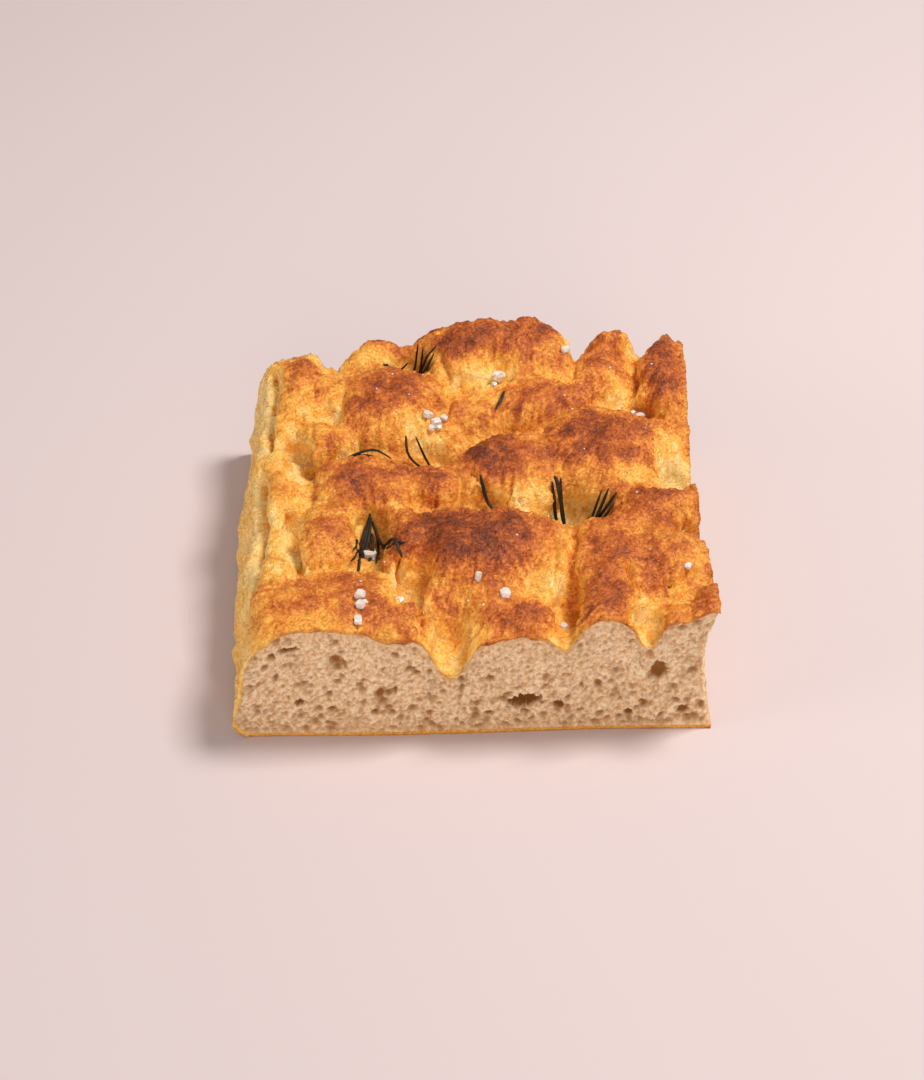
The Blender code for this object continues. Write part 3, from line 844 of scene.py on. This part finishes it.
# Needles, each a path of x, y and how far it stands off the crust, in mm, and a width against the usual
NEEDLES = (
    # in the back dimple
    (((-26, 60.6, 0.6), (-22, 63.8, 1.2), (-18.1, 66, 2.5)), 0.9),
    (((-20.6, 64.2, 2.0), (-19.9, 63.5, 1.2), (-19.4, 62.5, 0.3)), 0.8),
    (((-16.5, 62.5, 0.2), (-15.8, 65.0, 3.0), (-14.8, 67.5, 6.5)), 1.1),
    (((-14.5, 61.2, 0.2), (-14.1, 62.8, 2.0), (-13.2, 65.0, 4.5)), 1.1),
    (((-14.2, 60.5, 0.2), (-12.0, 60.3, 2.0), (-9.0, 61.5, 5.0)), 1.0),
    (((-12.6, 58.7, 0.4), (-11.8, 59.0, 2.0), (-9.8, 60.2, 4.0)), 1.2),
    (((-24.0, 58.8, 0.6), (-19.0, 60.0, 0.8), (-14.5, 60.2, 0.3)), 1.0),
    (((-17.5, 60.0, 0.4), (-15.0, 59.3, 1.4), (-11.0, 58.2, 1.8)), 1.2),
    # across the left of the middle
    (((-46.6, 16.8, 1.9), (-46.0, 15.8, 1.6), (-43.6, 15.1, 1.3)), 0.8),
    (((-40.7, 15.0, 1.1), (-37.5, 18.4, 1.9), (-36.5, 20.2, 2.5), (-31.3, 23.0, 3.0), (-27.3, 22.2, 2.5),
      (-23.2, 19.5, 1.4)), 1.0),
    (((-35.9, 20.8, 1.9), (-29.8, 21.1, 2.8), (-22.0, 16.3, 1.4)), 1.1),
    (((-31.9, 21.9, 2.2), (-29.5, 19.3, 3.0), (-27.3, 17.0, 1.6)), 1.0),
    (((-35.9, 20.2, 1.9), (-34.0, 18.3, 2.5), (-32.5, 16.0, 1.3)), 0.8),
    # in the middle dimple
    (((-18.6, 25.6, 5.2), (-18.0, 22.7, 3.7), (-14.5, 21.2, 2.2), (-10.6, 20.4, 1.1)), 0.9),
    (((-15.5, 25.2, 5.2), (-12.5, 22.8, 3.4), (-9.6, 19.9, 1.0)), 0.9),
    (((-8.0, 22.8, 4.5), (-8.2, 21.0, 2.5), (-8.7, 19.6, 1.0)), 0.9),
    (((-0.6, 20.1, 3.0), (-3.5, 18.6, 2.2), (-7.2, 17.4, 1.0)), 1.3),
    # the sprig on the left at the front
    (((-29.3, -10.7, 0.5), (-30.8, -16.1, 1.5), (-32.0, -25.0, 1.2), (-32.6, -34.8, 0.8)), 1.2),
    (((-29.0, -11.0, 0.6), (-30.0, -17.0, 1.8), (-31.5, -25.0, 1.6), (-34.6, -33.3, 0.7)), 1.1),
    (((-30.0, -11.5, 0.5), (-31.8, -18.0, 1.2), (-33.0, -25.0, 1.0), (-33.8, -30.5, 0.6)), 1.0),
    (((-28.7, -11.8, 0.6), (-25.6, -20.8, 2.0), (-22.0, -30.0, 1.6), (-19.5, -36.1, 0.6)), 1.2),
    (((-25.6, -22.0, 1.4), (-23.7, -28.2, 1.5), (-18.3, -33.2, 0.8)), 1.0),
    (((-28.4, -12.4, 0.4), (-26.9, -18.1, 0.8), (-27.3, -30.1, 0.4)), 0.7),
    (((-29.0, -15.0, 1.0), (-28.5, -22.0, 1.4), (-29.5, -29.0, 0.6)), 1.0),
    # single one in the middle
    (((4.0, -0.8, 1.5), (6.1, -4.7, 1.0), (9.4, -8.2, 0.3)), 1.1),
    # two sprigs in the dimple at the right
    (((26.6, 1.5, 3.0), (27.7, -2.1, 2.0), (30.0, -8.9, 0.3)), 1.2),
    (((25.8, -1.0, 2.4), (27.0, -5.0, 1.5), (29.0, -9.0, 0.3)), 1.0),
    (((28.4, 0.2, 2.4), (28.9, -4.0, 1.5), (30.4, -9.2, 0.3)), 1.0),
    (((24.8, -8.2, 1.0), (26.5, -8.8, 0.8), (28.6, -9.3, 0.2)), 1.0),
    (((33.5, -8.7, 0.3), (38.5, -7.0, 2.2), (45.1, -6.4, 1.2)), 1.2),
    (((33.5, -8.7, 0.3), (35.2, -6.8, 1.8), (37.0, -4.9, 3.0)), 1.1),
    (((33.0, -9.2, 0.3), (38.0, -9.2, 1.4), (44.4, -9.3, 0.8)), 1.1),
    (((33.0, -9.0, 0.3), (37.5, -7.6, 2.8), (42.7, -4.6, 2.5)), 1.2),
    (((34.0, -8.8, 0.3), (37.0, -6.6, 2.2), (40.5, -4.4, 3.0)), 1.0),
    # single one at the back
    (((12.3, 43.8, 1.5), (11.0, 40.5, 1.0), (9.6, 37.2, 0.3)), 1.0),
)


def crust_height(x, y):
    """The crust's surface under a place given in mm."""
    return crust_tree.ray_cast(Vector((x * MM, y * MM, FAR)), Vector((0, 0, -1)))[0]


def smooth_path(points, count):
    """Points spaced evenly along a soft curve through the ones given."""
    knots = np.array([points[0], *points, points[-1]])
    curve = []
    for place in np.linspace(0, len(points) - 1, count):
        k = min(int(place), len(points) - 2)
        t = place - k
        before, first, second, after = knots[k:k + 4]
        curve.append(0.5 * (2 * first + (second - before) * t
                            + (2 * before - 5 * first + 4 * second - after) * t ** 2
                            + (3 * first - before - 3 * second + after) * t ** 3))
    return curve


def add_needle(bm, path, width):
    """One needle: oval rings along its path, joined, widest a third of the way and pointed at its ends."""
    points = [crust_height(x, y) + LEANS * (off + NEEDLE_LIFT) * MM for x, y, off in path]
    curve = [Vector(point) for point in smooth_path([np.array(point) for point in points], NEEDLE_RINGS)]
    for point in curve[:-1]:
        lowest = crust_height(point.x / MM, point.y / MM).z + NEEDLE_CLEAR * width * NEEDLE_WIDTH
        point.z = max(point.z, lowest)
    edges = []
    for ring, middle in enumerate(curve):
        along = curve[min(ring + 1, len(curve) - 1)] - curve[max(ring - 1, 0)]
        part = ring / (NEEDLE_RINGS - 1)
        size = width * NEEDLE_WIDTH / 2 * (math.sin(math.pi * (0.06 + 0.90 * part)) ** 0.45)
        turn = along.to_track_quat("Z", "Y").to_matrix().to_4x4()
        flat = Matrix.Diagonal((1, NEEDLE_THICKNESS, 1, 1))
        made = bmesh.ops.create_circle(bm, segments=NEEDLE_SIDES, radius=size,
                                       matrix=Matrix.Translation(middle) @ turn @ flat)["verts"]
        loop = list({edge for vert in made for edge in vert.link_edges})
        if ring in (0, NEEDLE_RINGS - 1):
            bmesh.ops.contextual_create(bm, geom=made)
        if edges:
            bmesh.ops.bridge_loops(bm, edges=edges + loop)
        edges = loop


bm = bmesh.new()
for path, width in NEEDLES:
    add_needle(bm, path, width)
bmesh.ops.recalc_face_normals(bm, faces=bm.faces)
rosemary_mesh = bpy.data.meshes.new("rosemary")
bm.to_mesh(rosemary_mesh)
bm.free()
rosemary_mesh.shade_smooth()

# Rosemary leaf roasted in oil: nearly black olive green and brown, with a slight gloss.
scorched_rosemary, rosemary_output = new_material("scorched_rosemary")
leaf_place = add_node(scorched_rosemary, "ShaderNodeTexCoord").outputs["Object"]
leaf_tone = add_node(scorched_rosemary, "ShaderNodeTexNoise", links=[("Vector", leaf_place)],
                     Scale=1 / (3.0 * MM), Detail=2.0).outputs["Fac"]
leaf_colour = ramp(scorched_rosemary, leaf_tone, ((0.35, "#15100A"), (0.55, "#261C10"), (0.74, "#463418")))
leaf_shader = add_node(scorched_rosemary, "ShaderNodeBsdfPrincipled",
                       links=[("Base Color", leaf_colour.outputs["Color"])], Roughness=0.6)
leaf_shader.inputs["Specular IOR Level"].default_value = 0.3
scorched_rosemary.node_tree.links.new(leaf_shader.outputs["BSDF"], rosemary_output.inputs["Surface"])

rosemary_piece = show("rosemary", rosemary_mesh, scorched_rosemary)
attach(rosemary_piece, "root")


# --- Salt ---------------------------------------------------------------------
# Coarse sea salt scattered before baking: cloudy, blunt broken crystals up to a
# few millimetres across, and the dust and chips that fell with them.

# Crystals: x, y, and length, width and height in mm
CRYSTALS = (
    (-11.7, 31.6, 3.0, 2.4, 2.0), (-9.2, 30.2, 3.2, 2.6, 2.2), (-6.7, 32.4, 2.2, 2.0, 1.6),
    (-10.5, 28.4, 2.4, 1.8, 1.6), (-8.3, 28.9, 1.8, 1.6, 1.3),
    (10.8, 50.4, 3.6, 3.0, 3.0), (9.2, 47.6, 1.6, 1.4, 1.2), (32.0, 58.8, 2.6, 2.2, 1.8),
    (55.1, 39.4, 3.4, 2.6, 2.2), (53.0, 41.0, 1.8, 1.5, 1.3),
    (-31.5, -56.4, 2.8, 2.6, 2.4), (-31.4, -60.3, 2.6, 2.4, 2.4), (-30.2, -58.6, 1.8, 1.6, 1.4),
    (-32.0, -65.5, 3.6, 2.4, 1.6), (-20.3, -52.2, 2.6, 2.4, 1.6), (-29.2, -26.1, 3.8, 3.2, 2.6),
    (2.7, -48.3, 1.7, 1.5, 3.4), (10.4, -53.4, 3.6, 2.8, 2.2), (27.5, -57.8, 2.6, 1.8, 1.4),
    (41.2, -13.0, 2.4, 2.0, 1.6), (64.0, -45.5, 2.2, 1.8, 1.4), (36.5, -10.5, 2.6, 2.0, 1.6),
)
CHIPS = 60                              # scattered bits of 0.3 to 0.8 mm
BOXINESS = 0.50                         # 1 for a ball, towards 0 for a box
KNOCKED = 0.115                         # of a crystal's size
TIPPED = 0.3                            # radians from level, at most
STAND_OUT = 0.32                        # of its height, from the crust up to its middle


def add_crystal(bm, x, y, sizes, random):
    """One blunt crystal: a boxy ball of facets, each corner knocked about, part sunk in the crust."""
    facets = bmesh.ops.create_icosphere(bm, subdivisions=2, radius=0.5)["verts"]
    for vert in facets:
        boxy = [math.copysign(abs(2 * part) ** BOXINESS / 2, part) for part in vert.co]
        vert.co = Vector(boxy) + Vector(random.uniform(-KNOCKED, KNOCKED, 3).tolist())
    floor = crust_height(x, y)
    turn = Matrix.Rotation(random.uniform(0, math.pi), 4, "Z")
    turn = turn @ Matrix.Rotation(random.uniform(-TIPPED, TIPPED), 4, "X")
    scale = Matrix.Diagonal((*[size * MM for size in sizes], 1))
    lift = Matrix.Translation(floor + Vector((0, 0, STAND_OUT * sizes[2] * MM)))
    bmesh.ops.transform(bm, matrix=lift @ turn @ scale, verts=facets)


bm = bmesh.new()
random = np.random.default_rng(23)
for x, y, *sizes in CRYSTALS:
    add_crystal(bm, x, y, sizes, random)
for _ in range(CHIPS):
    size = random.uniform(0.3, 0.75)
    add_crystal(bm, random.uniform(-60, 64), random.uniform(-64, 62),
                (size, size * 0.8, size * 0.7), random)
bmesh.ops.recalc_face_normals(bm, faces=bm.faces)
salt_mesh = bpy.data.meshes.new("salt")
bm.to_mesh(salt_mesh)
bm.free()

# Sea salt: colourless crystal clouded by brine, so it shows white, and a little of the crust's warmth is
# painted into its colour as light from the crust.
sea_salt, salt_output = new_material("sea_salt")
salt_shader = add_node(sea_salt, "ShaderNodeBsdfPrincipled", Roughness=0.25, Subsurface_Weight=0.35,
                       Subsurface_Scale=1.5 * MM, Transmission_Weight=0.25, IOR=1.54)
# Painted light: the warm tint stands in for the crust's colour coming into the crystal.
salt_shader.inputs["Base Color"].default_value = linear("#F8EEE6")
sea_salt.node_tree.links.new(salt_shader.outputs["BSDF"], salt_output.inputs["Surface"])

salt_piece = show("salt", salt_mesh, sea_salt)
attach(salt_piece, "root")
